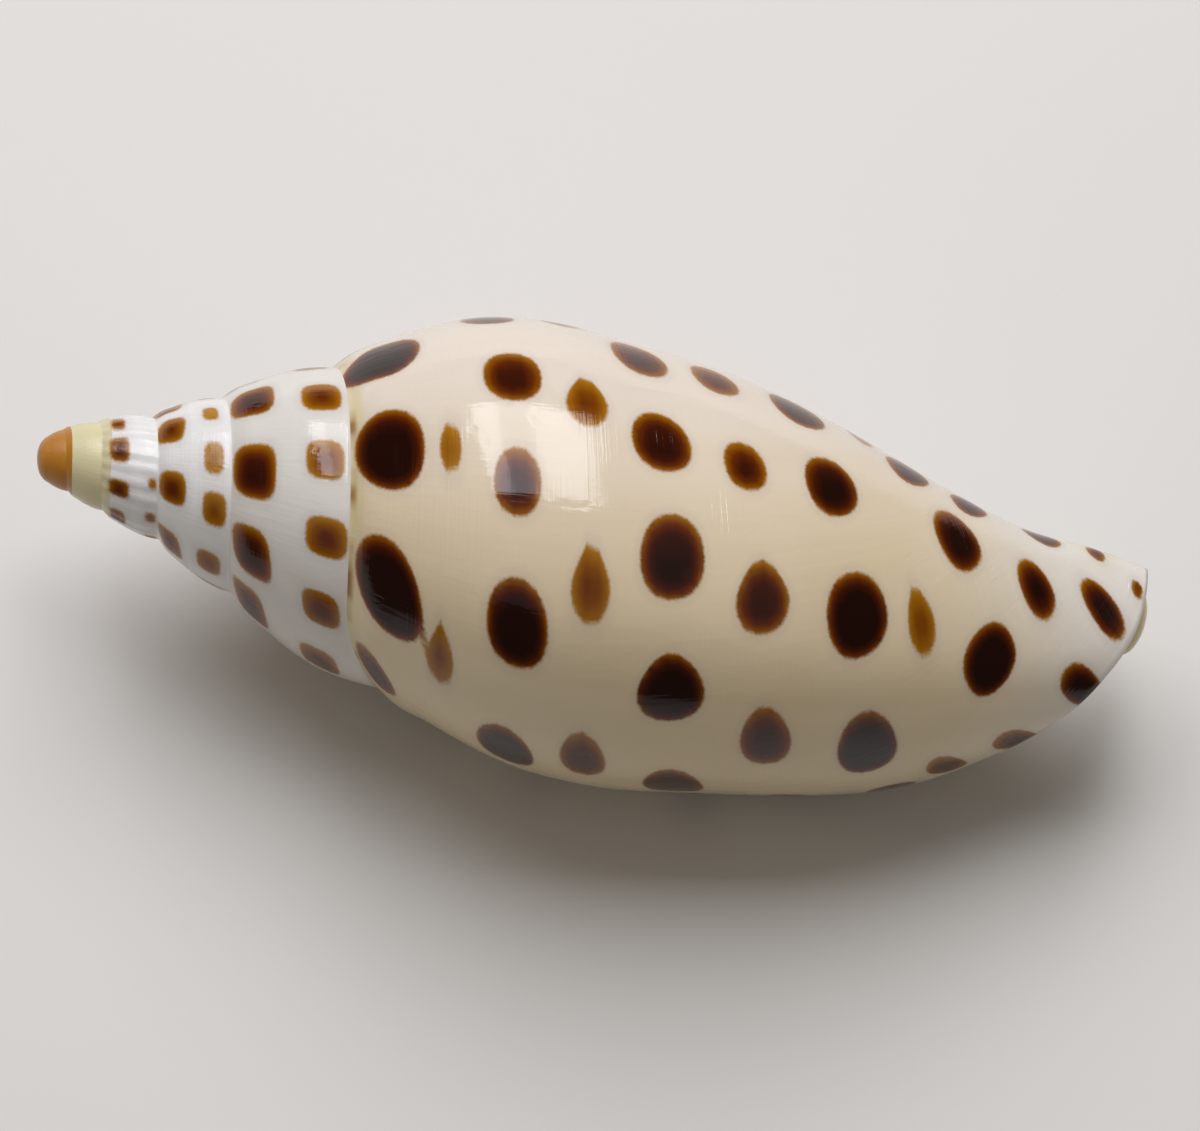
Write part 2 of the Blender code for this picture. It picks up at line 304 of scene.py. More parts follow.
print("columns:", LAST + 1, "rows of the last turn:", TIP + 1)

# %% [markdown]
# ## Knots
# A knot of the outer face lies on the outline. A knot of the hollow's face lies
# one wall thickness inside it, and over the last 12 mm it bends in to meet the
# pillar in the middle. That pillar, the columella, is a slim cone under the
# whorl's front end, and its knots are given at full size.

# %% Write down the knots
FIELDS = ("start", "foot", "next_foot")
FLAGS = ("sweep", "early", "ready", "plaited")
SPIRE_EASE, ROOF_EASE = 1.25, 1.15
MEETS_PILLAR = 12.0
knots = []


def knot(turn, share, radius, **values):
    knots.append(((turn, share, radius), values))
    return len(knots) - 1


def turn_at(column):
    return START_TURN + column / PER_TURN


def mix(a, b, t):
    return a + (b - a) * t


def row_share(column, row):
    """Place on the outline of a row of the outer face."""
    turn = turn_at(column)
    at_suture = suture_share(turn + 1.0)
    corner = at_suture + corner_width(min(turn + 1.0, LIP_TURN))
    if row <= SPIRE_ROWS:
        return mix(OUTLINE[0][0], at_suture, (row / SPIRE_ROWS) ** SPIRE_EASE)
    if row <= CORNER:
        return mix(at_suture, corner, (row - SPIRE_ROWS) / FOOT_ROWS)
    row -= CORNER
    if row <= UPPER_ROWS:
        return mix(corner, PLAITS_FROM, row / UPPER_ROWS)
    row -= UPPER_ROWS
    if row <= PLAIT_ROWS:
        return mix(PLAITS_FROM, PLAITS_TO, row / PLAIT_ROWS)
    return mix(PLAITS_TO, FRONT_AT, (row - PLAIT_ROWS) / LOWER_ROWS)


def outer_knot(column, row):
    turn = turn_at(column)
    share = row_share(column, row)
    return knot(
        turn, share, outline(share), sweep=lip_line(share),
        start=OUTLINE[0], foot=suture(turn), next_foot=suture(turn + 1.0),
        early=float(row <= SPIRE_ROWS and turn < -1.5), plaited=float(row > CORNER),
    )


def inner_shape(column, row):
    """Share, radius, start and sweep of a row of the hollow's face."""
    turn = turn_at(column)
    wall = WALL * thinning(turn)
    start = (suture_share(turn) + corner_width(turn)) / GROWTH
    end = FRONT_AT - FOOT_WIDTH
    share = mix(start, end, (row / FRONT) ** ROOF_EASE)
    miss = outline_inside(end, wall) - COLUMELLA_SLOPE * end
    radius = outline_inside(share, wall) - miss * smooth_step(share, end - MEETS_PILLAR, end)
    return share, radius, (start, outline_inside(start, wall)), lip_line(share * FRONT_AT / end)


def inner_knot(column, row):
    turn = turn_at(column)
    share, radius, start, sweep = inner_shape(column, row)
    foot = suture_share(turn) + corner_width(turn)
    return knot(turn, share, radius, sweep=sweep, start=start, foot=(foot, outline(foot)))


def pillar_knot(column, row):
    """A knot of the columella or its rounded tip, in millimetres."""
    turn = turn_at(column)
    sweep_here = sweep_share(turn)
    sweep_next = sweep_share(min(turn + 1.0, LIP_TURN))
    share = min((row - FRONT) / PILLAR_ROWS, 1.0)
    here = turn - LIP_SWEEP * mix(sweep_here, sweep_next, share)
    begin = FRONT_AT * scale_at(turn - LIP_SWEEP * sweep_here)
    next_turn = min(turn + 1.0 - LIP_SWEEP * sweep_next, LIP_TURN - LIP_SWEEP)
    end = FRONT_AT * scale_at(next_turn)
    inner = max((FRONT_AT - FOOT_WIDTH) * scale_at(next_turn), begin)
    if row <= PILLAR_END:
        along = mix(begin, inner, share)
    elif row <= LIP_FOOT:
        along = mix(inner, end, (row - PILLAR_END) / FOOT_ROWS)
    else:
        angle = 0.5 * math.pi * (row - LIP_FOOT) / TIP_ROWS
        radius = COLUMELLA_SLOPE * end * math.cos(angle)
        return knot(here, end + TIP_HEIGHT * math.sin(angle), radius, ready=1.0)
    return knot(here, along, COLUMELLA_SLOPE * along, ready=1.0)


print("outline share of the inner corner:", round(row_share(LAST - PER_TURN, CORNER), 2))

# %% [markdown]
# ## Tie the net
# The outer sheet runs the whole way. Before the last turn it needs no knots
# below the suture, apart from where it is the floor of the hollow. The inner
# sheet is the roof of the hollow, and it starts and ends on knots of the outer
# sheet, one turn back.

# %% Tie the outer and the inner sheet
outer, inner = {}, {}
apex = knot(START_TURN, 0.0, 0.0, ready=1.0)


def rows_of(column):
    if column >= LAST - PER_TURN:
        return TIP
    return PILLAR_END if column >= DEEP - PER_TURN else SPIRE_ROWS


def tie_outer(column, row):
    older = column - PER_TURN
    if column == 0 or (row == 0 and column <= PER_TURN):
        return apex
    if row == 0:
        return outer[older, SPIRE_ROWS]
    if column == LAST and row >= FRONT:
        return outer[older, max(row, LIP_FOOT)]
    if row == TIP and column > LAST - PER_TURN:
        return outer[LAST - PER_TURN, TIP]
    return outer_knot(column, row) if row <= FRONT else pillar_knot(column, row)


for column in range(LAST + 1):
    for row in range(rows_of(column) + 1):
        outer[column, row] = tie_outer(column, row)

for column in range(DEEP, LAST + 1):
    inner[column, 0] = outer[column - PER_TURN, CORNER]
    inner[column, FRONT] = outer[column - PER_TURN, PILLAR_END]
    for row in range(1, FRONT):
        inner[column, row] = inner_knot(column, row)

print("knots so far:", len(knots))

# %% [markdown]
# At the lip a strip of knots goes from the outer sheet to the inner one over a
# half circle, because a real lip is rounded. It gets flat towards both ends,
# where it stands on the older whorl and on the columella.

# %% Tie the rounded lip
LIP_RADIUS = 15.0
FLAT_ENDS = 16
lip = {}
for row in range(FRONT + 1):
    lip[row, 0] = outer[LAST, row]
    lip[row, FOOT_ROWS] = inner[LAST, row]
    out_share = row_share(LAST, row)
    in_share, in_radius, in_start, in_sweep = inner_shape(LAST, row)
    fullness = min(1.0, row / FLAT_ENDS, (FRONT - row) / FLAT_ENDS)
    for k in range(1, FOOT_ROWS):
        if row == 0:
            lip[row, k] = outer[LAST - PER_TURN, SPIRE_ROWS + k]
            continue
        if row == FRONT:
            lip[row, k] = outer[LAST - PER_TURN, LIP_FOOT - k]
            continue
        bow = math.pi * k / FOOT_ROWS
        t = 0.5 - 0.5 * math.cos(bow)
        foot = suture_share(LIP_TURN) + corner_width(LIP_TURN) * t
        ahead = fullness * 0.5 * WALL * LIP_EDGE * math.sin(bow) / (2 * math.pi * LIP_RADIUS)
        lip[row, k] = knot(
            LIP_TURN + ahead, mix(out_share, in_share, t), mix(outline(out_share), in_radius, t),
            sweep=mix(lip_line(out_share), in_sweep, t), foot=(foot, outline(foot)),
            start=(mix(OUTLINE[0][0], in_start[0], t), mix(OUTLINE[0][1], in_start[1], t)),
        )
print("knots:", len(knots))

# %% [markdown]
# ## Faces and the coil map
# Faces join neighbouring knots. Each face corner also keeps its own turn and
# share as a UV map, so a pattern can follow the growth of the shell. A map
# works per corner, which matters at the suture: there one knot is the bottom
# edge of one whorl and the top edge of the next. A number on each corner says
# which part it is: the outside, the lip, the hollow's roof or floor, or the
# pillar in the middle. One face closes the hollow's blind end.

# %% Join the knots into faces
OUTSIDE, LIP, ROOF, FLOOR, PILLAR = 0.0, 1.0, 2.0, 3.0, 4.0
faces, corner_map, corner_part = [], [], []


def face(corners, part):
    """corners: knot, turn and share of each corner."""
    seen, ring = set(), []
    for corner in corners:
        if corner[0] not in seen:
            seen.add(corner[0])
            ring.append(corner)
    if len(ring) > 2:
        faces.append([corner[0] for corner in ring])
        corner_map.extend((corner[1], corner[2]) for corner in ring)
        corner_part.extend([part] * len(ring))


def outer_corner(column, row):
    share = row_share(column, min(row, FRONT)) + max(row - FRONT, 0) * 0.5
    return outer[column, row], turn_at(column), share


def inner_corner(column, row):
    return inner[column, row], turn_at(column), inner_shape(column, row)[0]


outer_corners = {key: outer_corner(*key) for key in outer}
inner_corners = {key: inner_corner(*key) for key in inner}
for column in range(LAST):
    for row in range(rows_of(column)):
        if SPIRE_ROWS <= row < CORNER and column < LAST - PER_TURN:
            continue
        ring = ((column, row), (column + 1, row), (column + 1, row + 1), (column, row + 1))
        under = row >= CORNER and column < LAST - PER_TURN
        part = PILLAR if row >= FRONT else FLOOR if under else OUTSIDE
        face([outer_corners[key] for key in ring], part)
for column in range(DEEP, LAST):
    for row in range(FRONT):
        ring = ((column, row), (column, row + 1), (column + 1, row + 1), (column + 1, row))
        face([inner_corners[key] for key in ring], ROOF)
for row in range(FRONT):
    for k in range(FOOT_ROWS):
        ring = ((row, k), (row, k + 1), (row + 1, k + 1), (row + 1, k))
        face([(lip[key], LIP_TURN, row_share(LAST, key[0])) for key in ring], LIP)
blind = [inner_corners[DEEP, row] for row in range(FRONT + 1)]
blind += [outer_corners[DEEP - PER_TURN, row] for row in range(PILLAR_END - 1, CORNER, -1)]
face(blind[::-1], ROOF)
print("faces:", len(faces))

# %% [markdown]
# The knots and faces become a flat mesh. What the rule has to know about a knot
# is stored in named attributes, which a node tree can read.

# %% Store the net as a mesh
net = bpy.data.meshes.new("net")
net.from_pydata([place for place, _ in knots], [], faces)
for name in FIELDS:
    values = net.attributes.new(name, "FLOAT_VECTOR", "POINT")
    rows = [(*more.get(name, (0.0, 0.0)), 0.0) for _, more in knots]
    values.data.foreach_set("vector", np.array(rows).ravel())
for name in FLAGS:
    values = net.attributes.new(name, "FLOAT", "POINT")
    values.data.foreach_set("value", [more.get(name, 0.0) for _, more in knots])
coil_map = net.uv_layers.new(name="coil")
coil_map.data.foreach_set("uv", np.array(corner_map).ravel())
part = net.attributes.new("part", "FLOAT", "CORNER")
part.data.foreach_set("value", corner_part)
print("net corners:", len(net.loops))

# %% [markdown]
# ## The rule that rolls up the net
# Growing by the same ratio in every turn is what makes the spiral of a shell.
# The tree takes each knot, multiplies its place on the outline by the growth so
# far, and turns it around the axis. Geometry nodes suit this, because the sizes
# stay as named inputs: with another growth per turn the same net gives another
# shell.

# %% Open the tree and name its inputs
tree = bpy.data.node_groups.new("roll up the net", "GeometryNodeTree")
for way in ("INPUT", "OUTPUT"):
    tree.interface.new_socket("Geometry", in_out=way, socket_type="NodeSocketGeometry")
sizes = {
    "Growth per turn": GROWTH,
    "Flat side": 0.18,
    "Flat side, lower": 0.06,
    "Flat side, front": 0.17,
    "Front bend": 2.9,
    "Front scoop": 0.22,
    "Apex lean": 0.35,
    "Plait height": 0.8,
    "Plait spacing": PLAIT_SPACING,
    "Riblet height": 0.04,
    "Riblets per turn": 24.0,
    "Waviness": 0.05,
}
for name, size in sizes.items():
    socket = tree.interface.new_socket(name, in_out="INPUT", socket_type="NodeSocketFloat")
    socket.default_value = size
tree.interface.new_socket("Material", in_out="INPUT", socket_type="NodeSocketMaterial")
given = tree.nodes.new("NodeGroupInput").outputs
print("inputs:", len(sizes) + 2)

# %% [markdown]
# A knot's chart place comes apart into turn, share and radius. Growth lines are
# straight on old whorls and take the lip's bend as they near it, so each knot
# first slides back along the coil by its share of the sweep.

# %% Read the knots and find their size
KNOT = "GeometryNodeInputNamedAttribute"
flag = {name: add(tree, KNOT, [name], data_type="FLOAT") for name in FLAGS}
pair = {name: add(tree, KNOT, [name], data_type="FLOAT_VECTOR") for name in FIELDS}
chart = add(tree, "GeometryNodeInputPosition")
turn, share, radius = add(tree, SPLIT, [chart]).node.outputs
start = add(tree, SPLIT, [pair["start"]])

bent = add(tree, RANGE, [turn, LIP_TURN - 1, LIP_TURN, 0, 1], **SMOOTH)
swept = add(tree, MATH, [flag["sweep"], bent, turn], operation="MULTIPLY_ADD")
growth = given["Growth per turn"]
size = add(tree, MATH, [growth, add(tree, MATH, [swept, 0.5])], operation="POWER")
size_here = add(tree, MATH, [growth, add(tree, MATH, [turn, 0.5])], operation="POWER")
size_before = add(tree, MATH, [growth, add(tree, MATH, [turn, -0.5])], operation="POWER")
print("nodes that read a knot:", len(tree.nodes))

# %% [markdown]
# The top of each whorl is drawn onto the older one, and the pull fades out over
# 20 mm of outline. On the early spire the sheet is an arch between two sutures:
# the outline's arch is turned and stretched to fit from one to the other.

# %% Grow the outline and glue it to the older whorl
PULL_REACH = 20
profile = add(tree, JOIN, [share, radius, 0])
grown = add(tree, VECTOR, {0: profile, 3: size}, operation="SCALE")
on_older = add(tree, VECTOR, {0: pair["foot"], 3: size_before}, operation="SCALE")
own_start = add(tree, VECTOR, {0: pair["start"], 3: size_here}, operation="SCALE")
pull = add(tree, VECTOR, [on_older, own_start], **MINUS)
reach = add(tree, MATH, [start, PULL_REACH])
fade = add(tree, RANGE, [share, start, reach, 1, 0], **SMOOTH)
pull = add(tree, VECTOR, {0: pull, 3: fade}, operation="SCALE")
glued = add(tree, VECTOR, [grown, pull], operation="ADD")

arch_along, arch_out = SUTURE_AT - OUTLINE[0][0], outline(SUTURE_AT) - OUTLINE[0][1]
arch2 = arch_along ** 2 + arch_out ** 2
ALONG_ARCH = (arch_along / arch2, arch_out / arch2, 0)
OFF_ARCH = (-arch_out / arch2, arch_along / arch2, 0)
rise = add(tree, VECTOR, [profile, (*OUTLINE[0], 0)], **MINUS)
on_arch = add(tree, VECTOR, [rise, ALONG_ARCH], give=1, operation="DOT_PRODUCT")
off_arch = add(tree, VECTOR, [rise, OFF_ARCH], give=1, operation="DOT_PRODUCT")
next_suture = add(tree, VECTOR, {0: pair["next_foot"], 3: size_here}, operation="SCALE")
chord = add(tree, VECTOR, [next_suture, on_older], **MINUS)
across_chord = add(tree, VECTOR, [(0, 0, 1), chord], operation="CROSS_PRODUCT")
arch = add(tree, VECTOR, {0: chord, 3: on_arch}, operation="SCALE")
arch = add(tree, VECTOR, [arch, on_older], operation="ADD")
bulge = add(tree, VECTOR, {0: across_chord, 3: off_arch}, operation="SCALE")
arch = add(tree, VECTOR, [arch, bulge], operation="ADD")

coil = add(tree, MIX, {0: flag["early"], 4: glued, 5: arch}, give=1, data_type="VECTOR")
coil = add(tree, MIX, {0: flag["ready"], 4: coil, 5: profile}, give=1, data_type="VECTOR")
along, out = add(tree, SPLIT, [coil]).node.outputs[:2]
print("nodes with the sutures:", len(tree.nodes))

# %% [markdown]
# The side above the lip bulges less than a perfect coil would. This sets in over
# a few millimetres below the suture. Inside, four plaits wind around the
# columella: ridges that the snail's muscle is guided by.

# %% Flatten the lip side and raise the plaits
FLAT_SETTLES = 5.5
NEAR_LIP = (-0.22, 0.02)
PLAITS_FADE = (LIP_TURN - 1.02, LIP_TURN - 0.93)
below = add(tree, MATH, [share, start], **MINUS)
settle = add(tree, MATH, [below, -1 / FLAT_SETTLES], **TIMES)
settle = add(tree, MATH, [settle], operation="EXPONENT")
settle = add(tree, MATH, [1, settle], **MINUS, use_clamp=True)
flat = add(tree, MATH, [settle, given["Flat side"]], **TIMES)
for low, high, name in ((40, 62, "Flat side, lower"), (58, 76, "Flat side, front")):
    more = add(tree, RANGE, [share, low, high, 0, given[name]], **SMOOTH)
    flat = add(tree, MATH, [flat, more])
near_lip = add(tree, RANGE, [swept, *NEAR_LIP, 0, 1], **SMOOTH)
flat = add(tree, MATH, [flat, near_lip], **TIMES)
flat = add(tree, MATH, [1, flat], **MINUS)
out = add(tree, MATH, [out, flat], **TIMES)

wave = add(tree, MATH, [share, PLAIT_AT], **MINUS)
wave = add(tree, MATH, [wave, given["Plait spacing"]], operation="DIVIDE")
wave = add(tree, MATH, [wave, 2 * math.pi], **TIMES)
wave = add(tree, MATH, [add(tree, MATH, [wave], operation="COSINE"), 0.5, 0.5],
           operation="MULTIPLY_ADD", use_clamp=True)
wave = add(tree, MATH, [wave, 1.15], operation="POWER")
first = add(tree, MATH, [share, PLAITS_FROM], operation="GREATER_THAN")
final = add(tree, MATH, [share, PLAITS_TO], operation="LESS_THAN")
deep = add(tree, RANGE, [turn, *PLAITS_FADE, 1, 0], **SMOOTH)
for factor in (first, final, deep, flag["plaited"], size, given["Plait height"]):
    wave = add(tree, MATH, [wave, factor], **TIMES)
out = add(tree, MATH, [out, wave])
print("nodes with the plaits:", len(tree.nodes))

# %% [markdown]
# The first whorl after the embryonic ones has low riblets along the axis, one
# every fifteen degrees. They rise, run for a turn and fade out again.

# %% Raise the riblets
RIBS_RISE, RIBS_FADE = (-3.9, -3.6), (-2.8, -2.2)
ribs = add(tree, MATH, [turn, given["Riblets per turn"]], **TIMES)
ribs = add(tree, MATH, [ribs, 2 * math.pi], **TIMES)
ribs = add(tree, MATH, [ribs], operation="COSINE")
rise_in = add(tree, RANGE, [turn, *RIBS_RISE, 0, 1], **SMOOTH)
fade_out = add(tree, RANGE, [turn, *RIBS_FADE, 1, 0], **SMOOTH)
for factor in (rise_in, fade_out, flag["early"], given["Riblet height"]):
    ribs = add(tree, MATH, [ribs, factor], **TIMES)
out = add(tree, MATH, [out, ribs])
print("nodes with the riblets:", len(tree.nodes))

# %% [markdown]
# Last comes the turning itself. Along the axis nothing changes, and across it
# the radius goes round by the turn. The front end is bent aside a little and is
# lower than it is wide, and the first dome leans.

# %% Turn around the axis
BEND_FROM, SCOOP_FROM, FRONT_END = 68, 62, 95
LEAN_TO, BEND_POWER = 9, 2.2
angle = add(tree, MATH, [swept, 2 * math.pi], **TIMES)
to_side, to_back = [
    add(tree, MATH, [add(tree, MATH, [angle], operation=way), out], **TIMES)
    for way in ("COSINE", "SINE")
]
front = add(tree, RANGE, [along, BEND_FROM, FRONT_END, 0, 1], clamp=False)
front = add(tree, MATH, [front, 0], operation="MAXIMUM")
front = add(tree, MATH, [front, BEND_POWER], operation="POWER")
aside = add(tree, MATH, [front, given["Front bend"]], **TIMES)
lean = add(tree, RANGE, [along, 0, LEAN_TO, given["Apex lean"], 0], **SMOOTH)
aside = add(tree, MATH, [aside, lean], **MINUS)
scoop = add(tree, RANGE, [along, SCOOP_FROM, FRONT_END, 0, given["Front scoop"]], **SMOOTH)
scoop = add(tree, MATH, [scoop, 1], **MINUS)
across = add(tree, MATH, [aside, to_side], **MINUS)
height = add(tree, MATH, [to_back, scoop], **TIMES)
rolled = add(tree, JOIN, [along, across, height])
rolled = add(tree, VECTOR, {0: rolled, 3: MM}, operation="SCALE")
shell = add(tree, "GeometryNodeSetPosition", {0: given["Geometry"], 2: rolled})
print("nodes with the turning:", len(tree.nodes))

# %% [markdown]
# ## A little waviness
# The surface is smooth but never quite even, and a gloss shows that in its
# reflections. Each knot moves along its own normal by a few hundredths of a
# millimetre, in swells about 11 mm wide. Then the tree sets smooth shading and
# the material.

# %% Add waviness, shading and material
SWELLS_PER_METRE = 90.0
uneven = add(tree, NOISE, {"Scale": SWELLS_PER_METRE, "Detail": 1.0})
uneven = add(tree, MATH, [uneven, 0.5], **MINUS)
for factor in (given["Waviness"], MM):
    uneven = add(tree, MATH, [uneven, factor], **TIMES)
normal = add(tree, "GeometryNodeInputNormal")
lift = add(tree, VECTOR, {0: normal, 3: uneven}, operation="SCALE")
shell = add(tree, "GeometryNodeSetPosition", {0: shell, 3: lift})
shell = add(tree, "GeometryNodeSetShadeSmooth", [shell])
shell = add(tree, "GeometryNodeRealizeInstances", [shell])
shell = add(tree, "GeometryNodeSetMaterial", {0: shell, 2: given["Material"]})
add(tree, "NodeGroupOutput", [shell])
print("nodes in the tree:", len(tree.nodes))

# %% [markdown]
# ## Run the rule
# The modifier's inputs are set by their identifiers before anything looks at
# the object. The evaluated result becomes a plain mesh, which is then laid down
# the way the shell rests: on its lip and the side of its last whorl.

# %% Roll it up and lay it down
shell_material = bpy.data.materials.new("glossy volute shell")
rolling = bpy.data.objects.new("rolling", net)
bpy.context.scene.collection.objects.link(rolling)
roll_up = rolling.modifiers.new("roll up", "NODES")
roll_up.node_group = tree
settings = {**sizes, "Material": shell_material}
for item in tree.interface.items_tree:
    if item.in_out == "INPUT" and item.name in settings:
        roll_up[item.identifier] = settings[item.name]
bpy.context.view_layer.update()
graph = bpy.context.evaluated_depsgraph_get()
shell_mesh = bpy.data.meshes.new_from_object(rolling.evaluated_get(graph), depsgraph=graph)
bpy.data.objects.remove(rolling)

ROLL, PITCH = math.radians(19.05), math.radians(5.28)
LIE = Matrix.Rotation(PITCH, 4, "Y") @ Matrix.Rotation(ROLL, 4, "X")
shell_mesh.transform(LIE)
places = np.empty(len(shell_mesh.vertices) * 3)
shell_mesh.vertices.foreach_get("co", places)
places = places.reshape(-1, 3)
low, high = places.min(axis=0), places.max(axis=0)
SHIFT = Vector((-(low[0] + high[0]) / 2, -(low[1] + high[1]) / 2, -low[2]))
shell_mesh.transform(Matrix.Translation(SHIFT))
print("rolled up, mm:", [round(float(side) * 1000, 2) for side in high - low])

# %% [markdown]
# The mesh becomes the one object of this shell. It rides on the part's only body
# and is shown in place of the solid.

# %% Make the object
volute = bpy.data.objects.new("volute", shell_mesh)
bpy.context.scene.collection.objects.link(volute)
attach(volute, "root")
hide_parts("shell")
print("triangles:", sum(len(p.vertices) - 2 for p in shell_mesh.polygons))

# %% [markdown]
# ## Spots
# The snail's mantle lays pigment in spiral rows that keep their place on the
# outline, so a spot is named by its turn and its share. The rows and their
# larger and smaller spots are listed: turn, share, length along the
# growth and width across it in millimetres, how far it comes to a point towards
# the older side, how far it leans, and how dark its middle is. In between, and
# on the hidden side, a row goes on with spots at its own spacing, and their
# sizes differ by up to an eighth.

# %% Rows of spots
SHOULDER = (
    (-3.41, 27.2, 1.5, 0.8, 0, 0, 0.2), (-3.3, 27.5, 1.8, 1.3, 0, 0, 0.35),
    (-3.18, 27.6, 1.2, 1.5, 0, 0, 0.45), (-3.07, 27.4, 1.6, 1.2, 0, 0, 0.3),
    (-2.365, 25.8, 2.6, 2.3, 0, -0.15, 0.28), (-2.222, 26.2, 2.6, 2.4, 0.1, 0, 0.36),
    (-2.08, 26, 2.9, 2.2, 0, 0.2, 0.36), (-1.405, 26, 3.9, 3.6, 0, -0.06, 0.45),
    (-1.277, 26, 4.6, 3.8, 0, 0, 0.55), (-1.163, 26, 4.4, 3.7, 0.1, 0.15, 0.55),
    (-1.065, 26, 5, 3.2, 0, 0.2, 0.5), (-0.43, 26, 6.6, 6.6, 0.2, -0.2, 0.7),
    (-0.31, 26.1, 7.3, 6.1, 0.1, 0, 0.8), (-0.189, 26.3, 8.5, 6.2, 0.2, 0.22, 1),
    (-0.088, 24.9, 5.6, 3.2, 0.2, 0.2, 0.6), (0.025, 26.2, 6, 4.6, 0.1, 0, 0.6),
)
WAIST = (
    (-3.216, 36.2, 0.7, 0.45, 0, 0, 0.1), (-3.116, 35.8, 0.9, 0.6, 0, 0, 0.15),
    (-2.397, 33.6, 1.6, 1.1, 0, 0, 0), (-2.294, 34, 2.6, 1.5, 0, 0, 0.06),
    (-2.204, 34.4, 2.7, 1.9, 0, 0, 0.17), (-2.095, 33.6, 2.6, 2, 0, 0, 0.2),
    (-1.387, 34.2, 3.4, 3.2, 0, 0, 0.24), (-1.298, 34.4, 3.3, 3.1, 0, 0, 0.2),
    (-1.214, 34.8, 3.2, 3.5, 0, 0, 0.28), (-1.132, 34.5, 3.3, 3.2, 0, 0.1, 0.3),
    (-1.042, 34.3, 4.6, 3.3, 0, 0.1, 0.35), (-0.475, 34.8, 5.2, 4.2, 0.2, 0, 0.5),
    (-0.373, 35.4, 5.8, 4.7, 0, 0, 0.45), (-0.287, 35.5, 5.9, 3.8, 0.1, 0, 0.5),
    (-0.193, 35.8, 7.9, 5.1, 0.1, 0.05, 0.9), (-0.072, 34.7, 9, 5.2, 0.2, 0, 0.8),
    (0.048, 35.2, 5, 3.8, 0, 0, 0.5),
)
BODY_ROWS = (
    (
        (-0.56, 30.6, 4, 2, 0.4, 0, 0.2), (-0.31, 30.5, 4.5, 1.7, 0.2, 0, 0.12),
        (-0.152, 30.3, 6.6, 2.3, 0.7, 0, 0.18), (0.01, 30.4, 4.6, 1.9, 0.4, 0, 0.15),
    ),
    (
        (-0.354, 41.1, 5.6, 3.3, 0.7, 0, 0.22), (-0.226, 41.1, 7.2, 3, 0.8, 0, 0.24),
        (-0.084, 40.6, 8.9, 3.8, 0.3, 0, 0.45), (0.03, 41, 5.6, 2.9, 0.4, 0, 0.25),
    ),
    (
        (-0.42, 46.5, 6.8, 4.5, 0.2, 0.1, 0.4), (-0.325, 46.9, 5.9, 5, 0.2, 0.1, 0.55),
        (-0.241, 47.3, 7.2, 5.4, 0.1, 0, 0.65), (-0.151, 47.1, 6.9, 5.6, 0.4, 0, 0.9),
        (-0.033, 46.6, 9.6, 5, 0.2, 0, 0.7), (0.062, 46.8, 5.4, 4.4, 0.1, 0, 0.6),
    ),
    (
        (-0.408, 52.9, 5.6, 3.8, 0.1, 0.1, 0.3), (-0.308, 53.6, 4.9, 3.6, 0.1, 0.1, 0.45),
        (-0.209, 54.1, 6.4, 4.5, 0.5, 0, 0.5), (-0.099, 53.8, 7.9, 4.3, 0.3, 0, 0.5),
        (0.036, 53.6, 6, 3.8, 0.2, 0, 0.4),
    ),
    (
        (-0.393, 60.1, 6.4, 4.8, 0.1, 0.1, 0.5), (-0.293, 60.8, 6.5, 4.8, 0.1, 0.1, 0.7),
        (-0.18, 61.4, 7.7, 5.6, 0.1, 0.08, 0.9), (-0.062, 61, 9.3, 5.4, 0.2, 0, 0.9),
        (0.055, 60.6, 5.6, 4.4, 0.1, 0, 0.6),
    ),
    (
        (-0.152, 66.4, 6.8, 2.4, 0.6, 0.05, 0.2), (0.035, 65.2, 8, 3.3, 0.2, 0, 0.4),
    ),
    (
        (-0.328, 69.6, 5.6, 4.4, 0, 0.1, 0.5), (-0.205, 71.3, 8, 4.2, 0.1, 0.2, 0.75),
        (-0.063, 71.2, 6.6, 5.4, 0, 0.2, 0.95), (0.062, 70.3, 6.8, 3.8, 0.1, 0.15, 0.4),
    ),
    (
        (-0.26, 74.8, 4.6, 4.2, 0, 0.1, 0.5), (-0.084, 76.8, 7, 3.5, 0.1, 0.06, 0.7),
        (0.062, 76.9, 5.7, 3.5, 0, 0.2, 0.9),
    ),
    (
        (-0.165, 81.6, 5, 4, 0, 0.3, 0.5), (0.014, 81.5, 6.7, 3.2, 0, 0.06, 0.85),
    ),
    (
        (-0.042, 85.6, 2.6, 2.6, 0, 0, 0.4), (0.061, 85.4, 1.3, 1.6, 0, 0, 0.4),
    ),
)
BODY_SPACING = (0.15, 0.13, 0.1, 0.105, 0.11, 0.25, 0.13, 0.16, 0.18, 0.2)
UNEVEN, MOST_BEHIND = 0.12, 6


def continued(row, gap, spacing):
    """Fill every stretch of a row that is longer than gap with even spots."""
    filled = []
    for left, right in zip(row, row[1:]):
        filled.append(left)
        width = right[0] - left[0]
        count = round(width / spacing) if width > gap else 1
        for k in range(1, count):
            t = k / count
            swell = 1.0 + UNEVEN * math.sin(7.0 * k + 3.0 * left[0])
            values = [mix(a, b, t) for a, b in zip(left, right)]
            filled.append((*values[:2], values[2] * swell, values[3] * swell, *values[4:]))
    return filled + [row[-1]]


